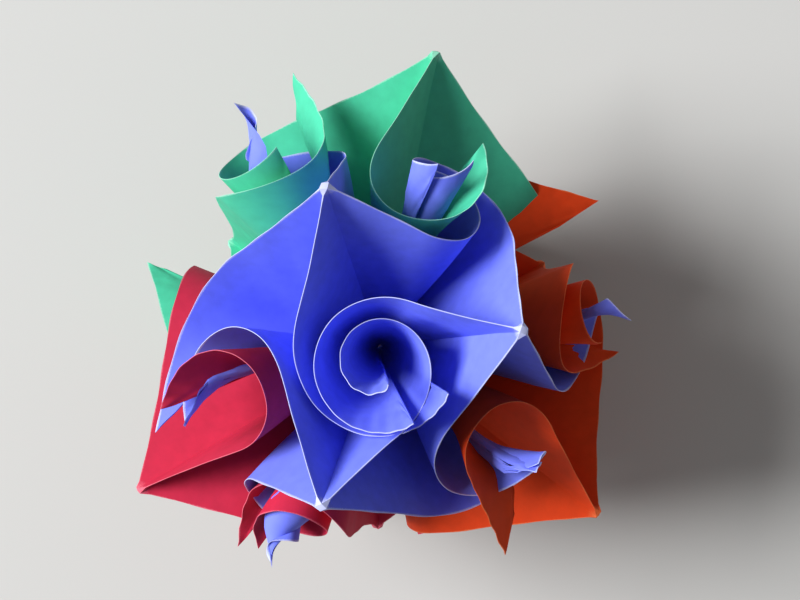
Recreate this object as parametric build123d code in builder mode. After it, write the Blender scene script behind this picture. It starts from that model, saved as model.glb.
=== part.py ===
from build123d import *
from math import atan, atan2, cos, degrees, exp, pi, radians, sin
import os

# A ball of twelve square sheets, each folded on its diagonals and medians into a star of four
# double walls. The twelve stars sit on the corners of a cuboctahedron, and where three or four
# of them meet their walls are curled into one another. The curls alone hold the ball together.
# The ball's middle is at (0, 0, 0) while it is made. It is set down on z = 0 at the end.

# Sheet
paper_side = 100.0
wall_thickness = 0.3  # two plies
valley_depth = paper_side / 2  # from the sheet's middle to the middle of a side
corner_width = 1.6  # what is left of the sheet's corner, which is blunt from curling

# Ball
apex_radius = 54.0  # middle of the ball to a sheet's middle
pushed_in_radius = 43.0  # the same for the three sheets that are pressed inwards
bottom_polar = 147  # angle from +Z of the three sheets that the ball stands on
core_radius = 9.0  # the walls leave this much free in the middle
clear_of_table = 0.6  # how far the lowest curl stops above the table
apex_region = radians(10)  # the sheets' middles, on which the ball stands, keep their height

# Curl
tightness = 0.20  # how fast a curl closes in
settle_angle = radians(270)  # by this turn all walls of a curl lie in one spiral
turn_step = radians(3)
most_turn = radians(720)
stations = 15  # sections of one wall
station_crowding = 1.4  # above 1 the sections come closer together towards the corner

# Where the sheets' middles are: azimuth, angle from +Z, distance from the ball's middle
units = {
    "blue_unit_1": (109, 31, apex_radius),
    "blue_unit_2": (6, 26, apex_radius),
    "blue_unit_3": (250, 32, apex_radius),
    "green_outer_unit": (79, 82, 56.0),
    "orange_outer_unit": (-38, 82, 52.0),
    "red_outer_unit": (211, 82, 53.0),
    "green_lower_unit": (145, 114, pushed_in_radius),
    "orange_lower_unit": (26, 114, pushed_in_radius),
    "red_lower_unit": (269, 114, pushed_in_radius),
    "orange_bottom_unit": (62, bottom_polar, apex_radius),
    "red_bottom_unit": (-58, bottom_polar, apex_radius),
    "green_bottom_unit": (182, bottom_polar, apex_radius),
}

# Where the curls are: azimuth and angle from +Z of the axis, how far to one side of it a ridge
# sets off, radius of the curl in degrees, and the sheets whose walls it holds
curls = {
    "crown": (258, 5, 35, 19, ["blue_unit_1", "blue_unit_2", "blue_unit_3"]),
    "cup_1": (68, 46, 35, 16, ["blue_unit_1", "blue_unit_2", "green_outer_unit"]),
    "cup_2": (-45, 47, 35, 16, ["blue_unit_2", "blue_unit_3", "orange_outer_unit"]),
    "cup_3": (194, 47, 35, 16, ["blue_unit_3", "blue_unit_1", "red_outer_unit"]),
    "roll_1": (37, 79, 30, 8, ["orange_lower_unit"]),
    "roll_2": (-81, 77, 30, 8, ["red_lower_unit"]),
    "roll_3": (154, 77, 30, 8, ["green_lower_unit"]),
    "tube_1": (117, 70, 35, 14, ["blue_unit_1", "green_outer_unit", "green_lower_unit"]),
    "tube_2": (3, 68, 35, 14, ["blue_unit_2", "orange_outer_unit", "orange_lower_unit"]),
    "tube_3": (240, 70, 35, 14, ["blue_unit_3", "red_outer_unit", "red_lower_unit"]),
    "side_1": (56, 111, 24, 15, ["green_outer_unit", "orange_lower_unit", "orange_bottom_unit"]),
    "side_2": (-62, 111, 24, 15, ["orange_outer_unit", "red_lower_unit", "red_bottom_unit"]),
    "side_3": (177, 111, 24, 15, ["red_outer_unit", "green_lower_unit", "green_bottom_unit"]),
    "under_1": (111, 133, 30, 11,
                ["green_outer_unit", "orange_bottom_unit", "green_bottom_unit",
                 "green_lower_unit"]),
    "under_2": (-8, 133, 30, 11,
                ["orange_outer_unit", "red_bottom_unit", "orange_bottom_unit",
                 "orange_lower_unit"]),
    "under_3": (234, 133, 30, 11,
                ["red_outer_unit", "green_bottom_unit", "red_bottom_unit", "red_lower_unit"]),
    "base": (0, 180, 35, 17, ["orange_bottom_unit", "red_bottom_unit", "green_bottom_unit"]),
}

# Walls that set off further to the side than the others of their curl
own_leads = {
    ("blue_unit_1", "cup_3"): 42,
}

bottom_height = apex_radius * cos(radians(bottom_polar))
rim_limit = bottom_height + clear_of_table


def aim(azimuth, polar):
    return Vector(0, 0, 1).rotate(Axis.Y, polar).rotate(Axis.Z, azimuth)


def spiral_radius(turn, lead, own_size, curl_size):
    """Angle from the curl's axis once a wall has gone this far round it."""
    nearest = pi / 2 - lead
    bend = nearest - atan(tightness)
    if turn < bend:
        radius = own_size / cos(turn - nearest)
    else:
        radius = own_size / cos(bend - nearest) * exp(-tightness * (turn - bend))
    settled = min(turn / settle_angle, 1)
    return radius * (curl_size / own_size) ** (settled * settled * (3 - 2 * settled))


def flat_sheet(radius, swept):
    """Rim and inner edge of the flat double wall along a line out of the ball's middle."""
    rim = radius / (sin(swept) + cos(swept))
    corner_across = valley_depth
    corner_up = radius - valley_depth
    falling = corner_across * cos(swept) - (corner_up - core_radius) * sin(swept)
    inner = core_radius * corner_across / falling if falling > 0 else rim
    return rim, inner


def wall_lines(unit_name, curl_name):
    """The wall as (angle swept, direction, rim, inner edge), from the apex to the corner."""
    azimuth, polar, radius = units[unit_name]
    start = aim(azimuth, polar)
    axis_azimuth, axis_polar, lead, size, members = curls[curl_name]
    lead = radians(own_leads.get((unit_name, curl_name), lead))
    frame = Plane(origin=(0, 0, 0), z_dir=aim(axis_azimuth, axis_polar))
    start_turn = atan2(start.dot(frame.y_dir), start.dot(frame.x_dir))
    start_radius = radians(start.get_angle(frame.z_dir))
    own_size = start_radius * sin(lead)
    lines = []
    swept = 0.0
    turn = 0.0
    before = start
    while turn < most_turn:
        away = spiral_radius(turn, lead, own_size, radians(size))
        around = start_turn + turn
        across = frame.x_dir * cos(around) + frame.y_dir * sin(around)
        towards = frame.z_dir * cos(away) + across * sin(away)
        swept += radians(before.get_angle(towards))
        before = towards
        rim, inner = flat_sheet(radius, swept)
        if towards.Z < 0 and swept > apex_region:
            rim = min(rim, rim_limit / towards.Z)
        if rim - inner < corner_width:
            break
        lines.append((swept, towards, rim, inner))
        turn += turn_step
    return lines


def wall_sections(unit_name, curl_name):
    """Sections of the wall, each with half its thickness as an offset to the left."""
    lines = wall_lines(unit_name, curl_name)
    sections = []
    taken = -1
    for station in range(stations):
        part_way = 1 - (1 - station / (stations - 1)) ** station_crowding
        wanted = lines[-1][0] * part_way
        index = min(range(len(lines)), key=lambda i: abs(lines[i][0] - wanted))
        if index == taken:
            continue
        taken = index
        swept, towards, rim, inner = lines[index]
        heading = lines[min(index + 1, len(lines) - 1)][1] - lines[max(index - 1, 0)][1]
        sideways = towards.cross(heading).normalized() * wall_thickness / 2
        sections.append((swept, towards, sideways, rim, inner))
    return sections


def fold_line(apex, left_wall, right_wall):
    """Where the facing sides of two neighbouring walls meet, as an offset from the apex line."""
    left_normal = left_wall[0][2].normalized()
    right_normal = right_wall[0][2].normalized()
    between = left_normal.get_signed_angle(right_normal, apex)
    half = radians(between % 360) / 2
    out = left_normal.rotate(Axis((0, 0, 0), apex), degrees(half) - 90)
    return out * (wall_thickness / 2) / sin(half)


def side_curves(sections, side, start):
    """Rim and inner edge of one side of a wall, as splines with one ruling at each section."""
    rulings = []
    rims = []
    inners = []
    for swept, towards, sideways, rim, inner in sections:
        offset = sideways * side if rims else start
        rulings.append(swept)
        rims.append(towards * rim + offset)
        inners.append(towards * inner + offset)
    return Edge.make_spline(rims, parameters=rulings), Edge.make_spline(inners, parameters=rulings)


solids = {}
for unit_name in units:
    walls = [wall_sections(unit_name, curl_name) for curl_name in curls
             if unit_name in curls[curl_name][-1]]
    swept, apex, first_normal, apex_height, valley_height = walls[0][0]
    walls.sort(key=lambda wall: first_normal.get_signed_angle(wall[0][2], apex) % 360)
    folds = [fold_line(apex, walls[i], walls[(i + 1) % len(walls)]) for i in range(len(walls))]
    faces = []
    for i, sections in enumerate(walls):
        left_rim, left_inner = side_curves(sections, 1, folds[i])
        right_rim, right_inner = side_curves(sections, -1, folds[i - 1])
        faces.append(Face.make_surface_from_curves(left_rim, left_inner))
        faces.append(Face.make_surface_from_curves(right_rim, right_inner))
        faces.append(Face.make_surface_from_curves(left_rim, right_rim))
        faces.append(Face.make_surface_from_curves(left_inner, right_inner))
        faces.append(Face.make_surface_from_curves(Edge.make_line(left_rim @ 1, left_inner @ 1),
                                                   Edge.make_line(right_rim @ 1, right_inner @ 1)))
    for height in (apex_height, valley_height):
        faces.append(Face(Wire.make_polygon([apex * height + fold for fold in folds])))
    with BuildPart() as unit:
        add(Solid(Shell(faces)))
    solids[unit_name] = unit.part
    print(unit_name, len(unit.part.solids()), round(unit.part.volume, 1), unit.part.is_valid)

# The finished ball is set down on z = 0, centred over the origin
boxes = [solid.bounding_box() for solid in solids.values()]
middle_x = (min(box.min.X for box in boxes) + max(box.max.X for box in boxes)) / 2
middle_y = (min(box.min.Y for box in boxes) + max(box.max.Y for box in boxes)) / 2
lowest = min(box.min.Z for box in boxes)
print("middle", middle_x, middle_y, lowest)
os.makedirs("parts", exist_ok=True)
for unit_name, solid in solids.items():
    placed = Location((-middle_x, -middle_y, -lowest)) * solid
    placed.label = unit_name
    export_step(placed, "parts/" + unit_name + ".step")
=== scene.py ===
import math

import bpy
import numpy as np
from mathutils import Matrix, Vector


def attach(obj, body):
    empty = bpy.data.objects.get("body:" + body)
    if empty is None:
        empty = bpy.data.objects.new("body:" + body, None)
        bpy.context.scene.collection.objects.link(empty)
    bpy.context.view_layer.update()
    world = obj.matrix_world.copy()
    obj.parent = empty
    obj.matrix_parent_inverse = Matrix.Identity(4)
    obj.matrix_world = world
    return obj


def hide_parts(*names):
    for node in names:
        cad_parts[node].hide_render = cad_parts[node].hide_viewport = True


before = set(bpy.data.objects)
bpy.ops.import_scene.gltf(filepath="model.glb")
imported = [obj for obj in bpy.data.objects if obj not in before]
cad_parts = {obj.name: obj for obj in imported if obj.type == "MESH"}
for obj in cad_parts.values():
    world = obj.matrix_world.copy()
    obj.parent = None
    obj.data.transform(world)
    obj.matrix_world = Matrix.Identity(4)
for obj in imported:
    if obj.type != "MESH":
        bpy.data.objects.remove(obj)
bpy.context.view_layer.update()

mm = 0.001

# The same layout as the solids: a square sheet makes four double walls that roll about the ball's middle.
# Lengths are in millimetres. Angles are in degrees where a line doesn't turn them into radians.
sheet = {
    "side": 100.0,
    "wallThickness": 0.3,  # two plies
    "cornerWidth": 1.6,    # what is left of the sheet's corner, which is blunt from curling
}
ball = {
    "middle": (-0.754, -5.972, 45.395),  # in the frame
    "apexRadius": 54.0,                  # from the ball's middle to a sheet's middle
    "pushedInRadius": 39.5,              # the same for the three sheets that are pressed inwards
    "bottomPolar": 147,                  # angle from straight up to the three sheets that the ball stands on
    "coreRadius": 4.0,                   # how near a real sheet's inner edge comes to the ball's middle
    "clearOfTable": 0.6,                 # how far the lowest curl stops above the table
    "apexRegion": math.radians(10),      # the sheets' middles, on which the ball stands, keep their height
}
curling = {
    "tightness": 0.20,                 # how fast a curl closes in
    "settleAngle": math.radians(270),  # by this turn all walls of a curl lie in one spiral
    "turnStep": math.radians(1.5),
    "mostTurn": math.radians(720),
    "flareAt": math.radians(50),       # a flared wall stands out most this far from its sheet's middle
    "flareRise": math.radians(38),     # how gently it rises to that place
    "flareFall": math.radians(35),     # how gently it falls beyond it
}
# Sheets: azimuth, angle from straight up, distance of the sheet's middle from the ball's middle
units = {
    "blue_unit_1": (109, 31, ball["apexRadius"]),
    "blue_unit_2": (6, 26, ball["apexRadius"]),
    "blue_unit_3": (250, 32, ball["apexRadius"]),
    "green_outer_unit": (79, 82, 56.0),
    "orange_outer_unit": (-38, 82, 52.0),
    "red_outer_unit": (211, 82, 53.0),
    "green_lower_unit": (145, 114, ball["pushedInRadius"]),
    "orange_lower_unit": (26, 114, ball["pushedInRadius"]),
    "red_lower_unit": (269, 114, ball["pushedInRadius"]),
    "orange_bottom_unit": (62, ball["bottomPolar"], ball["apexRadius"]),
    "red_bottom_unit": (-58, ball["bottomPolar"], ball["apexRadius"]),
    "green_bottom_unit": (182, ball["bottomPolar"], ball["apexRadius"]),
}
# Curls: azimuth of the axis and its angle from straight up, how far aside a ridge sets off, size of the
# curl, and the sheets whose walls it holds
curls = {
    "crown": (258, 5, 35, 23, ["blue_unit_1", "blue_unit_2", "blue_unit_3"]),
    "cup_1": (68, 46, 35, 16, ["blue_unit_1", "blue_unit_2", "green_outer_unit"]),
    "cup_2": (-45, 47, 35, 16, ["blue_unit_2", "blue_unit_3", "orange_outer_unit"]),
    "cup_3": (194, 47, 35, 16, ["blue_unit_3", "blue_unit_1", "red_outer_unit"]),
    "roll_1": (37, 84, 30, 7, ["orange_lower_unit"]),
    "roll_2": (-81, 83, 30, 7, ["red_lower_unit"]),
    "roll_3": (155, 83, 30, 7, ["green_lower_unit"]),
    "tube_1": (121, 70, 35, 17, ["blue_unit_1", "green_outer_unit", "green_lower_unit"]),
    "tube_2": (7, 70, 35, 17, ["blue_unit_2", "orange_outer_unit", "orange_lower_unit"]),
    "tube_3": (243, 70, 35, 17, ["blue_unit_3", "red_outer_unit", "red_lower_unit"]),
    "side_1": (56, 111, 24, 15, ["green_outer_unit", "orange_lower_unit", "orange_bottom_unit"]),
    "side_2": (-62, 111, 24, 15, ["orange_outer_unit", "red_lower_unit", "red_bottom_unit"]),
    "side_3": (177, 111, 24, 15, ["red_outer_unit", "green_lower_unit", "green_bottom_unit"]),
    "under_1": (111, 133, 30, 11,
                ["green_outer_unit", "orange_bottom_unit", "green_bottom_unit", "green_lower_unit"]),
    "under_2": (-8, 133, 30, 11,
                ["orange_outer_unit", "red_bottom_unit", "orange_bottom_unit", "orange_lower_unit"]),
    "under_3": (234, 133, 30, 11,
                ["red_outer_unit", "green_bottom_unit", "red_bottom_unit", "red_lower_unit"]),
    "base": (0, 180, 35, 17, ["orange_bottom_unit", "red_bottom_unit", "green_bottom_unit"]),
}
# What one wall does differently from the others of its curl.
# lead, size: how far aside its ridge sets off, and the size it curls to
# tightness: how fast it closes in
# flare, reach: how far it stands out half way, and a quarter of the way round the ball
# tip, lean: width of its blunt end, and how far that end leans open
# looseAfter: past this turn it has sprung out of the curl and runs on straight
# core: how near its inner edge comes to the ball's middle
ownShapes = {
    ("blue_unit_1", "crown"): {"lead": 38, "size": 28, "tightness": 0.19, "core": 1},
    ("blue_unit_2", "crown"): {"size": 28, "tightness": 0.19, "core": 1},
    ("blue_unit_3", "crown"): {"size": 28, "tightness": 0.30, "core": 1},
    ("green_outer_unit", "cup_1"): {"lean": 30, "tip": 4},
    ("blue_unit_2", "cup_2"): {"lean": 25, "tip": 4},
    ("blue_unit_3", "cup_2"): {"lean": 40, "tip": 5},
    ("orange_outer_unit", "cup_2"): {"looseAfter": 228, "tip": 4.5, "lean": 40},
    ("blue_unit_1", "cup_3"): {"lead": 42, "tip": 6, "lean": 35},
    ("blue_unit_3", "cup_3"): {"tip": 6, "lean": 35},
    ("red_outer_unit", "cup_3"): {"lead": 29},
    ("green_lower_unit", "tube_1"): {"lead": 18, "size": 17, "tightness": 0.03, "flare": 18, "reach": 3,
                                     "tip": 6, "lean": 15},
    ("orange_lower_unit", "tube_2"): {"lead": 18, "size": 15.5, "tightness": 0.03, "flare": 16,
                                      "reach": -2.5, "tip": 6, "lean": 15},
    ("red_lower_unit", "tube_3"): {"lead": 18, "size": 16, "tightness": 0.06, "flare": 12, "reach": -2,
                                   "tip": 5, "lean": 8},
    ("green_outer_unit", "tube_1"): {"lead": 20, "size": 15, "tightness": 0.12, "flare": 7, "reach": -9,
                                     "tip": 4},
    ("orange_outer_unit", "tube_2"): {"lead": 20, "size": 11, "tightness": 0.12, "flare": 7, "reach": -9,
                                      "tip": 4},
    ("red_outer_unit", "tube_3"): {"lead": 20, "size": 14, "tightness": 0.12, "flare": 1, "reach": -6,
                                   "tip": 4},
    ("blue_unit_1", "tube_1"): {"size": 9, "reach": 5, "tip": 6, "lean": 38},
    ("blue_unit_2", "tube_2"): {"size": 9, "reach": -1, "tip": 6, "lean": 30},
    ("blue_unit_3", "tube_3"): {"size": 9, "reach": -3, "tip": 6, "lean": 35},
    ("green_outer_unit", "side_1"): {"lead": 30, "size": 20, "tightness": 0.05, "flare": 3},
    ("orange_outer_unit", "side_2"): {"lead": 30, "size": 20, "tightness": 0.05, "flare": 1},
    ("red_outer_unit", "side_3"): {"lead": 30, "size": 19, "tightness": 0.05, "flare": 3},
    ("orange_bottom_unit", "side_1"): {"lead": 30, "size": 13, "tightness": 0.02, "looseAfter": 170,
                                       "reach": 2, "tip": 8},
    ("red_bottom_unit", "side_2"): {"lead": 26, "size": 14, "tightness": 0.08, "looseAfter": 240,
                                    "reach": -8},
    ("green_bottom_unit", "side_3"): {"lead": 30, "size": 17, "tightness": 0.02, "looseAfter": 225,
                                      "tip": 4},
}


def aim(azimuth, polar):
    azimuth = math.radians(azimuth)
    polar = math.radians(polar)
    return np.array([math.sin(polar) * math.cos(azimuth), math.sin(polar) * math.sin(azimuth),
                     math.cos(polar)])


def angleBetween(one, other):
    return math.atan2(np.linalg.norm(np.cross(one, other)), one @ other)


def spiralRadius(turn, lead, ownSize, curlSize, tightness):
    # Angle from the curl's axis once a wall has gone this far round it
    nearest = math.pi / 2 - lead
    bend = nearest - math.atan(tightness)
    straight = ownSize / np.cos(np.minimum(turn, bend) - nearest)
    radius = straight * np.exp(-tightness * np.maximum(turn - bend, 0))
    settled = np.minimum(turn / curling["settleAngle"], 1)
    return radius * (curlSize / ownSize) ** (settled * settled * (3 - 2 * settled))


def wallPath(unitName, curlName):
    # The wall from the sheet's middle to its corner: directions from the ball's middle, the angle swept,
    # its rim and inner edge, the turn round the curl, and how far it stands out
    azimuth, polar, radius = units[unitName]
    axisAzimuth, axisPolar, lead, size = curls[curlName][:4]
    shape = {"lead": lead, "size": size, "tightness": curling["tightness"], "flare": 0, "reach": 0,
             "tip": sheet["cornerWidth"], "looseAfter": None, "core": ball["coreRadius"]}
    shape.update(ownShapes.get((unitName, curlName), {}))
    lead = math.radians(shape["lead"])
    start = aim(azimuth, polar)
    axis = aim(axisAzimuth, axisPolar)
    outward = start - axis * (start @ axis)
    outward /= np.linalg.norm(outward)
    beside = np.cross(axis, outward)
    away = angleBetween(start, axis)
    turn = np.arange(0, curling["mostTurn"], curling["turnStep"])
    tilt = spiralRadius(turn, lead, away * math.sin(lead), math.radians(shape["size"]),
                        shape["tightness"])[:, None]
    around = outward * np.cos(turn)[:, None] + beside * np.sin(turn)[:, None]
    towards = axis * np.cos(tilt) + around * np.sin(tilt)
    if shape["looseAfter"]:
        loose = int(math.radians(shape["looseAfter"]) / curling["turnStep"])
        leaving = towards[loose]
        onward = leaving - towards[loose - 1]
        stride = np.linalg.norm(onward) * np.arange(len(turn) - loose)[:, None]
        onward = onward - leaving * (onward @ leaving)
        towards[loose:] = leaving * np.cos(stride) + onward / np.linalg.norm(onward) * np.sin(stride)
    steps = np.linalg.norm(np.diff(towards, axis=0), axis=1)
    swept = np.concatenate([[0], np.cumsum(2 * np.arcsin(steps / 2))])
    across = sheet["side"] / 2
    rim = radius / (np.sin(swept) + np.cos(swept))
    falling = across * np.cos(swept) - (radius - across - shape["core"]) * np.sin(swept)
    inner = np.where(falling > 0, shape["core"] * across / falling, rim)
    fromPeak = swept - curling["flareAt"]
    width = np.where(fromPeak < 0, curling["flareRise"], curling["flareFall"])
    atMiddle = math.exp(-(curling["flareAt"] / curling["flareRise"]) ** 2)
    flare = shape["flare"] * (np.exp(-(fromPeak / width) ** 2) - atMiddle)
    shift = flare + shape["reach"] * (swept / (math.pi / 2)) ** 4
    rim += shift
    inner += shift
    # No rim goes lower than the sheets' middles that the ball stands on
    rimLimit = ball["apexRadius"] * math.cos(math.radians(ball["bottomPolar"])) + ball["clearOfTable"]
    low = (towards[:, 2] < 0) & (swept > ball["apexRegion"])
    rim[low] = np.minimum(rim[low], rimLimit / towards[low, 2])
    short = np.nonzero(rim - inner < shape["tip"])[0]
    last = short[0] if len(short) else len(turn)
    return towards[:last], swept[:last], rim[:last], inner[:last], turn[:last], shift[:last]


# How finely a wall is meshed, and how real paper differs from the ruled solid
paper = {
    "stations": 84,           # across the wall, from the sheet's middle to its corner
    "turnWeight": 0.30,       # tight curls get extra stations for their turning
    "rows": 12,               # down the wall
    "rowCrowding": 0.8,       # below 1 the rows come closer together towards the inner edge
    "foldRound": 0.35,        # the wall has its full thickness this far below the fold
    "foldShare": 0.35,        # the fold's own thickness, as a share of the full one
    "apexWear": 1.3,          # length of the flattened stretch at a sheet's middle
    "apexOpen": 0.55,         # how far the plies stand apart there
    "apexDepth": 1.5,         # how far down they still do
    "crestSink": 0.12,        # a sheet's worn middle is lower by this much
    "ridgeSink": 0.25,        # and the beginning of its ridges by this much
    "ridgeSinkLength": 2.0,   # length of that beginning
    "rimWobble": 0.09,        # how far a hand-made fold is from an even line
    "wobblePitch": (0.5, 0.7),    # radians for each millimetre along the ridge
    "wobbleStart": 8.0,           # the wobble is whole from here on
    "ripple": 0.14,               # how far the hand-curled paper is from an even curve
    "rippleLength": 15.0,
    "rippleDown": 3.0,            # radians down the wall for each ripple length
    "rippleStart": (12.0, 3.0),   # the ripple is whole this far along the ridge and this far below it
    "crumple": 0.20,              # unevenness of the handled tips
    "crumplePitch": (1.7, 1.1),   # radians for each millimetre along the wall and down it
    "crumpleFrom": 0.6,           # share of the wall that is left smooth
    "leanDepth": 9.0,             # a loose tip leans open down to here
    "leanFrom": 0.5,              # share of the wall that stays upright
    "phases": (0, 6),             # a wave may begin anywhere
    "tableGap": 0.01,             # no paper goes lower than this
    "sharpAngle": math.radians(35),
}


def easeIn(partWay, begin):
    # 0 up to where it begins, and from there up to 1 at the wall's end
    return np.clip((partWay - begin) / (1 - begin), 0, 1)[:, None] ** 2


def wallMesh(unitName, curlName, noise):
    towards, swept, rim, inner, turn, shift = wallPath(unitName, curlName)
    radius = units[unitName][2]
    density = swept + paper["turnWeight"] * turn
    wanted = np.linspace(0, density[-1], paper["stations"])

    def atStations(values):
        return np.interp(wanted, density, values)

    direction = np.stack([atStations(towards[:, i]) for i in range(3)], axis=1)
    direction /= np.linalg.norm(direction, axis=1)[:, None]
    heading = np.gradient(direction, axis=0)
    normal = np.cross(direction, heading)
    normal /= np.linalg.norm(normal, axis=1)[:, None]
    angle = atStations(swept)
    top = atStations(rim)
    bottom = atStations(inner)
    along = top * np.sin(angle) * math.sqrt(2)  # length along the ridge from the sheet's middle
    wave = np.sin(along * noise.uniform(*paper["wobblePitch"]) + noise.uniform(*paper["phases"]))
    top = top + paper["rimWobble"] * wave * np.clip(along / paper["wobbleStart"], 0, 1)
    worn = np.minimum(top, radius - paper["ridgeSink"])
    top = np.where(along < paper["ridgeSinkLength"], worn, top)
    share = np.linspace(0, 1, paper["rows"]) ** paper["rowCrowding"]
    heights = bottom[:, None] + (top - bottom)[:, None] * (1 - share)[None, :]
    depth = top[:, None] - heights
    # Half the wall's thickness: thinner at the fold, and open at the sheet's middle
    half = sheet["wallThickness"] / 2
    opening = paper["apexOpen"] * np.exp(-(along / paper["apexWear"]) ** 2)[:, None]
    rounded = np.sqrt(np.clip(depth / paper["foldRound"], 0, 1))
    halfWidth = (paper["foldShare"] + (1 - paper["foldShare"]) * rounded) * half + \
        opening * np.exp(-depth / paper["apexDepth"])
    # How far both plies together stand beside the spiral
    lean = math.tan(math.radians(ownShapes.get((unitName, curlName), {}).get("lean", 0)))
    partWay = angle / angle[-1]
    slant = lean * np.minimum(depth, paper["leanDepth"]) * easeIn(partWay, paper["leanFrom"])
    perRipple = along / paper["rippleLength"] * 2 * math.pi
    downRipple = depth / paper["rippleLength"] * paper["rippleDown"]
    ripple = np.sin(perRipple + noise.uniform(*paper["phases"]))[:, None] * \
        np.sin(downRipple + noise.uniform(*paper["phases"]))
    startAlong, startDown = paper["rippleStart"]
    ripple *= paper["ripple"] * np.clip(along / startAlong, 0, 1)[:, None] * np.clip(depth / startDown, 0, 1)
    pitchAlong, pitchDown = paper["crumplePitch"]
    crumple = np.sin(along[:, None] * pitchAlong + noise.uniform(*paper["phases"])) * \
        np.sin(depth * pitchDown + noise.uniform(*paper["phases"]))
    sideways = ripple + slant + paper["crumple"] * easeIn(partWay, paper["crumpleFrom"]) * crumple
    return {"direction": direction, "normal": normal, "angle": angle, "heights": heights,
            "sideways": sideways, "halfWidth": halfWidth, "radius": radius,
            "unshifted": heights - atStations(shift)[:, None]}


def foldOut(apex, leftNormal, rightNormal):
    # Direction of the valley between two neighbouring walls, and the sine that widens it
    signed = math.atan2(np.cross(leftNormal, rightNormal) @ apex, leftNormal @ rightNormal)
    half = (signed % (2 * math.pi)) / 2
    turnBy = half - math.pi / 2
    out = leftNormal * math.cos(turnBy) + np.cross(apex, leftNormal) * math.sin(turnBy)
    return out, math.sin(half)


def paperUnit(unitName, seed):
    noise = np.random.default_rng(seed)
    members = [name for name in curls if unitName in curls[name][-1]]
    walls = [wallMesh(unitName, name, noise) for name in members]
    apex = aim(*units[unitName][:2])
    first = walls[0]["normal"][0]

    def placeRound(wall):
        normal = wall["normal"][0]
        return math.atan2(np.cross(first, normal) @ apex, first @ normal) % (2 * math.pi)

    walls.sort(key=placeRound)
    vertices = []
    faces = []
    sheetPlaces = []
    middle = np.array(ball["middle"])
    count = len(walls)
    lefts = []
    for i, wall in enumerate(walls):
        leftOut = foldOut(apex, wall["normal"][0], walls[(i + 1) % count]["normal"][0])
        rightOut = foldOut(apex, walls[i - 1]["normal"][0], wall["normal"][0])
        # Each wall takes its own quarter of the flat sheet
        quarter = np.array([[math.cos(math.pi / 2 * i), -math.sin(math.pi / 2 * i)],
                            [math.sin(math.pi / 2 * i), math.cos(math.pi / 2 * i)]])
        starts = []
        for side, (out, widen) in ((1, leftOut), (-1, rightOut)):
            offset = wall["normal"][:, None, :] * (side * wall["halfWidth"] + wall["sideways"])[:, :, None]
            offset[0] = out * (wall["halfWidth"][0] / widen)[:, None]
            points = wall["direction"][:, None, :] * wall["heights"][:, :, None] + offset + middle
            points[:, :, 2] = np.maximum(points[:, :, 2], paper["tableGap"])
            down = wall["radius"] - wall["unshifted"] * np.cos(wall["angle"])[:, None]
            across = wall["unshifted"] * np.sin(wall["angle"])[:, None]
            flat = np.stack([across, down] if side > 0 else [down, across], axis=-1) @ quarter.T
            starts.append(len(vertices))
            vertices.extend(points.reshape(-1, 3) * mm)
            sheetPlaces.extend(flat.reshape(-1, 2))
        stationCount, rowCount = wall["heights"].shape
        left, right = starts
        lefts.append(left)
        for station in range(stationCount - 1):
            for row in range(rowCount - 1):
                a = station * rowCount + row
                b = a + rowCount
                faces.append((left + a, left + b, left + b + 1, left + a + 1))
                faces.append((right + a, right + a + 1, right + b + 1, right + b))
            a = station * rowCount
            b = a + rowCount
            faces.append((left + a, right + a, right + b, left + b))
            low = rowCount - 1
            faces.append((left + a + low, left + b + low, right + b + low, right + a + low))
        end = (stationCount - 1) * rowCount
        for row in range(rowCount - 1):
            faces.append((left + end + row, right + end + row, right + end + row + 1, left + end + row + 1))
    crest = len(vertices)
    vertices.append((apex * (units[unitName][2] - paper["crestSink"]) + middle) * mm)
    sheetPlaces.append((0.0, 0.0))
    for i in range(count):
        faces.append((crest, lefts[i - 1], lefts[i]))
    mesh = bpy.data.meshes.new(unitName + "Paper")
    mesh.from_pydata([tuple(v) for v in vertices], [], faces)
    places = mesh.uv_layers.new(name="sheet")
    flatPlaces = np.array(sheetPlaces) / sheet["side"] + 0.5
    loopVertices = np.empty(len(mesh.loops), dtype=np.int32)
    mesh.loops.foreach_get("vertex_index", loopVertices)
    places.data.foreach_set("uv", flatPlaces[loopVertices].astype(np.float32).ravel())
    mesh.polygons.foreach_set("use_smooth", [True] * len(mesh.polygons))
    mesh.set_sharp_from_angle(angle=paper["sharpAngle"])
    mesh.update()
    piece = bpy.data.objects.new(unitName + "Paper", mesh)
    bpy.context.scene.collection.objects.link(piece)
    return piece


def linear(hexColour):
    # sRGB hex to linear light
    values = [int(hexColour[i:i + 2], 16) / 255 for i in (1, 3, 5)]
    return [v / 12.92 if v <= 0.04045 else ((v + 0.055) / 1.055) ** 2.4 for v in values] + [1.0]


def addNode(tree, kind, settings={}, inputs={}, links={}):
    node = tree.nodes.new(kind)
    for name, value in settings.items():
        setattr(node, name, value)
    for name, value in inputs.items():
        node.inputs[name].default_value = value
    for name, source in links.items():
        tree.links.new(source, node.inputs[name])
    return node


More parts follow.
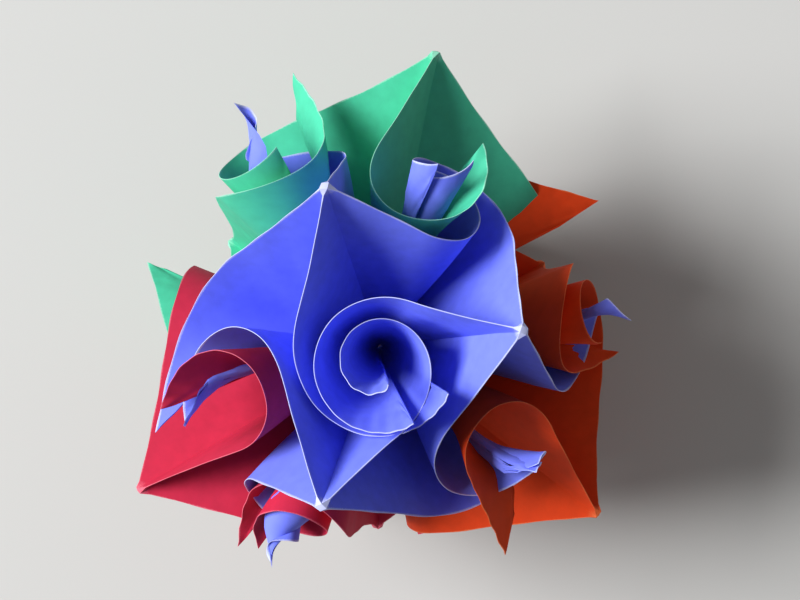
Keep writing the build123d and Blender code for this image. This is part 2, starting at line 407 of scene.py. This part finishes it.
# Craft paper, dyed on its faces over a paler core and uncoated: matt, with a slight mottle. Creasing by
# hand has rubbed the folds down to the core, so every mountain fold is a pale, ragged line, and each
# sheet's middle a pale spot.
paperFinish = {
    "blue": {"colour": "#7482F8", "worn": "#DADFFC", "wornWidth": 0.36},
    "green": {"colour": "#48C49C", "worn": "#A4E6CC", "wornWidth": 0.24},
    "orange": {"colour": "#EA430C", "worn": "#F88048", "wornWidth": 0.2},
    "red": {"colour": "#C82546", "worn": "#EC788C", "wornWidth": 0.22},
    "roughness": 0.72,
    "specular": 0.25,             # loose fibres hardly shine
    "mottleSize": 2.5,            # clouds where the fibres lie thicker or thinner
    "mottleShade": (0.93, 1.05),  # darkest and lightest, against the colour
    "mottleRange": (0.3, 0.7),    # part of the noise that is spread over these
    "mottleDetail": 4.0,
    "fibreSize": 0.35,            # real fibres are about 0.03 mm wide, too fine to show, so drawn this coarse
    "fibreDetail": 3.0,
    "fibreHeight": 0.05,
    "fibreBump": 0.25,
    "ridgeRagged": (0.5, -0.2),   # the fibres move the edge of the worn line by up to this much, from here on
    "ridgeFade": (0.4, 1.6),      # the worn line fades between these shares of its width
    "ridgeWear": 0.72,            # how much of the core shows on a fold
    "middleRagged": 2.4,          # the fibres move the edge of the worn middle by up to this much
    "middleFade": (1.6, 3.4),     # which fades between these distances
    "middleWear": 0.75,
}


def foldedPaper(colourName):
    finish = paperFinish[colourName]
    material = bpy.data.materials.new(colourName + "CraftPaper")
    material.use_nodes = True
    tree = material.node_tree
    shader = tree.nodes["Principled BSDF"]
    shader.inputs["Roughness"].default_value = paperFinish["roughness"]
    shader.inputs["Specular IOR Level"].default_value = paperFinish["specular"]
    # Place on the flat sheet, in millimetres from its middle
    places = addNode(tree, "ShaderNodeUVMap", {"uv_map": "sheet"})
    centred = addNode(tree, "ShaderNodeVectorMath", {"operation": "SUBTRACT"}, {1: (0.5, 0.5, 0)},
                      {0: places.outputs[0]})
    inMillimetres = addNode(tree, "ShaderNodeVectorMath", {"operation": "SCALE"}, {"Scale": sheet["side"]},
                            {0: centred.outputs[0]})
    # The mountain folds are the sheet's diagonals
    mirrored = addNode(tree, "ShaderNodeVectorMath", {"operation": "ABSOLUTE"}, {},
                       {0: inMillimetres.outputs[0]})
    split = addNode(tree, "ShaderNodeSeparateXYZ", {}, {}, {0: mirrored.outputs[0]})
    difference = addNode(tree, "ShaderNodeMath", {"operation": "SUBTRACT"}, {},
                         {0: split.outputs[0], 1: split.outputs[1]})
    fromRidge = addNode(tree, "ShaderNodeMath", {"operation": "ABSOLUTE"}, {}, {0: difference.outputs[0]})
    fibres = addNode(tree, "ShaderNodeTexNoise", {},
                     {"Scale": 1 / paperFinish["fibreSize"], "Detail": paperFinish["fibreDetail"]},
                     {"Vector": inMillimetres.outputs[0]})
    mottle = addNode(tree, "ShaderNodeTexNoise", {},
                     {"Scale": 1 / paperFinish["mottleSize"], "Detail": paperFinish["mottleDetail"]},
                     {"Vector": inMillimetres.outputs[0]})
    raggedBy, raggedFrom = paperFinish["ridgeRagged"]
    wearEdge = addNode(tree, "ShaderNodeMath", {"operation": "MULTIPLY_ADD"}, {1: raggedBy, 2: raggedFrom},
                       {0: fibres.outputs["Fac"]})
    ragged = addNode(tree, "ShaderNodeMath", {"operation": "ADD"}, {},
                     {0: fromRidge.outputs[0], 1: wearEdge.outputs[0]})
    fadeBegin, fadeEnd = [finish["wornWidth"] * share for share in paperFinish["ridgeFade"]]
    wornRidge = addNode(tree, "ShaderNodeMapRange", {"clamp": True},
                        {"From Min": fadeBegin, "From Max": fadeEnd,
                         "To Min": paperFinish["ridgeWear"], "To Max": 0.0},
                        {"Value": ragged.outputs[0]})
    fromMiddle = addNode(tree, "ShaderNodeVectorMath", {"operation": "LENGTH"}, {},
                         {0: inMillimetres.outputs[0]})
    raggedMiddle = addNode(tree, "ShaderNodeMath", {"operation": "MULTIPLY_ADD"},
                           {1: paperFinish["middleRagged"]},
                           {0: fibres.outputs["Fac"], 2: fromMiddle.outputs["Value"]})
    fadeBegin, fadeEnd = paperFinish["middleFade"]
    wornMiddle = addNode(tree, "ShaderNodeMapRange", {"clamp": True},
                         {"From Min": fadeBegin, "From Max": fadeEnd,
                          "To Min": paperFinish["middleWear"], "To Max": 0.0},
                         {"Value": raggedMiddle.outputs[0]})
    worn = addNode(tree, "ShaderNodeMath", {"operation": "MAXIMUM"}, {},
                   {0: wornRidge.outputs[0], 1: wornMiddle.outputs[0]})
    noiseLow, noiseHigh = paperFinish["mottleRange"]
    darkest, lightest = paperFinish["mottleShade"]
    shade = addNode(tree, "ShaderNodeMapRange", {"clamp": True},
                    {"From Min": noiseLow, "From Max": noiseHigh, "To Min": darkest, "To Max": lightest},
                    {"Value": mottle.outputs["Fac"]})
    mottled = addNode(tree, "ShaderNodeVectorMath", {"operation": "SCALE"},
                      {0: linear(finish["colour"])[:3]}, {"Scale": shade.outputs[0]})
    # Of a Mix node, 6 and 7 are the two colours that go in, and 2 is the one that comes out
    colour = addNode(tree, "ShaderNodeMix", {"data_type": "RGBA"}, {7: linear(finish["worn"])},
                     {0: worn.outputs[0], 6: mottled.outputs[0]})
    tree.links.new(colour.outputs[2], shader.inputs["Base Color"])
    bump = addNode(tree, "ShaderNodeBump", {},
                   {"Strength": paperFinish["fibreBump"], "Distance": paperFinish["fibreHeight"] * mm},
                   {"Height": fibres.outputs["Fac"]})
    tree.links.new(bump.outputs[0], shader.inputs["Normal"])
    return material


materials = {name: foldedPaper(name) for name in ("blue", "green", "orange", "red")}
for seed, unitName in enumerate(units):
    piece = paperUnit(unitName, seed)
    colourName = unitName.split("_")[0]
    piece.data.materials.append(materials[colourName])
    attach(piece, "root")
    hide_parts(unitName)
    print("folded", unitName, len(piece.data.polygons), "faces")

# Table top of board with a rolled coat of matt paint: pale, even and without a highlight
table = {
    "size": 3.0,  # metres
    "colour": "#C9C9C7",
    "roughness": 0.8,
}
tableMesh = bpy.data.meshes.new("table")
halfTable = table["size"] / 2
tableMesh.from_pydata([(-halfTable, -halfTable, 0), (halfTable, -halfTable, 0), (halfTable, halfTable, 0),
                       (-halfTable, halfTable, 0)], [], [(0, 1, 2, 3)])
tableTop = bpy.data.objects.new("table", tableMesh)
bpy.context.scene.collection.objects.link(tableTop)
tablePaint = bpy.data.materials.new("mattTableTop")
tablePaint.use_nodes = True
tableShader = tablePaint.node_tree.nodes["Principled BSDF"]
tableShader.inputs["Base Color"].default_value = linear(table["colour"])
tableShader.inputs["Roughness"].default_value = table["roughness"]
tableMesh.materials.append(tablePaint)

# Soft window light from the left of the picture, and an even white fill from all round
lights = {
    "window": {"from": (-2.20, 0.35, 1.85), "size": 1.4, "watts": 137.0},  # metres
    "aimAt": (0, 0, 0.045),
    "fill": 0.20,
    "fillColour": "#FFFFFF",
}


def areaLamp(name, settings):
    lamp = bpy.data.lights.new(name, "AREA")
    lamp.shape = "SQUARE"
    lamp.size = settings["size"]
    lamp.energy = settings["watts"]
    holder = bpy.data.objects.new(name, lamp)
    holder.location = settings["from"]
    shine = Vector(lights["aimAt"]) - Vector(settings["from"])
    holder.rotation_euler = shine.to_track_quat("-Z", "Y").to_euler()
    bpy.context.scene.collection.objects.link(holder)


areaLamp("window", lights["window"])
world = bpy.data.worlds.new("room")
world.use_nodes = True
background = world.node_tree.nodes["Background"]
background.inputs["Color"].default_value = linear(lights["fillColour"])
background.inputs["Strength"].default_value = lights["fill"]
bpy.context.scene.world = world
bpy.context.scene.view_settings.view_transform = "Standard"

# The photograph is taken from straight above the ball, which lies left of and below the picture's middle
cameraSettings = {
    "height": 350.0,     # above the ball's middle
    "scale": 0.189,      # millimetres a pixel at the ball's middle
    "imageWidth": 800,
    "ballPixelsLeft": 20,
    "ballPixelsLow": 45,
    "sensorWidth": 36.0,
    "nearest": 10.0,     # nothing nearer to the camera than this is drawn
}
camera = bpy.data.cameras.new("fromAbove")
camera.sensor_width = cameraSettings["sensorWidth"]
camera.lens = cameraSettings["height"] / (cameraSettings["scale"] * cameraSettings["imageWidth"]) * \
    cameraSettings["sensorWidth"]
camera.shift_x = cameraSettings["ballPixelsLeft"] / cameraSettings["imageWidth"]
camera.shift_y = cameraSettings["ballPixelsLow"] / cameraSettings["imageWidth"]
camera.clip_start = cameraSettings["nearest"] * mm
cameraHolder = bpy.data.objects.new("fromAbove", camera)
cameraHolder.location = Vector(ball["middle"]) * mm + Vector((0, 0, cameraSettings["height"] * mm))
bpy.context.scene.collection.objects.link(cameraHolder)
bpy.context.scene.camera = cameraHolder
print("lights and camera placed")
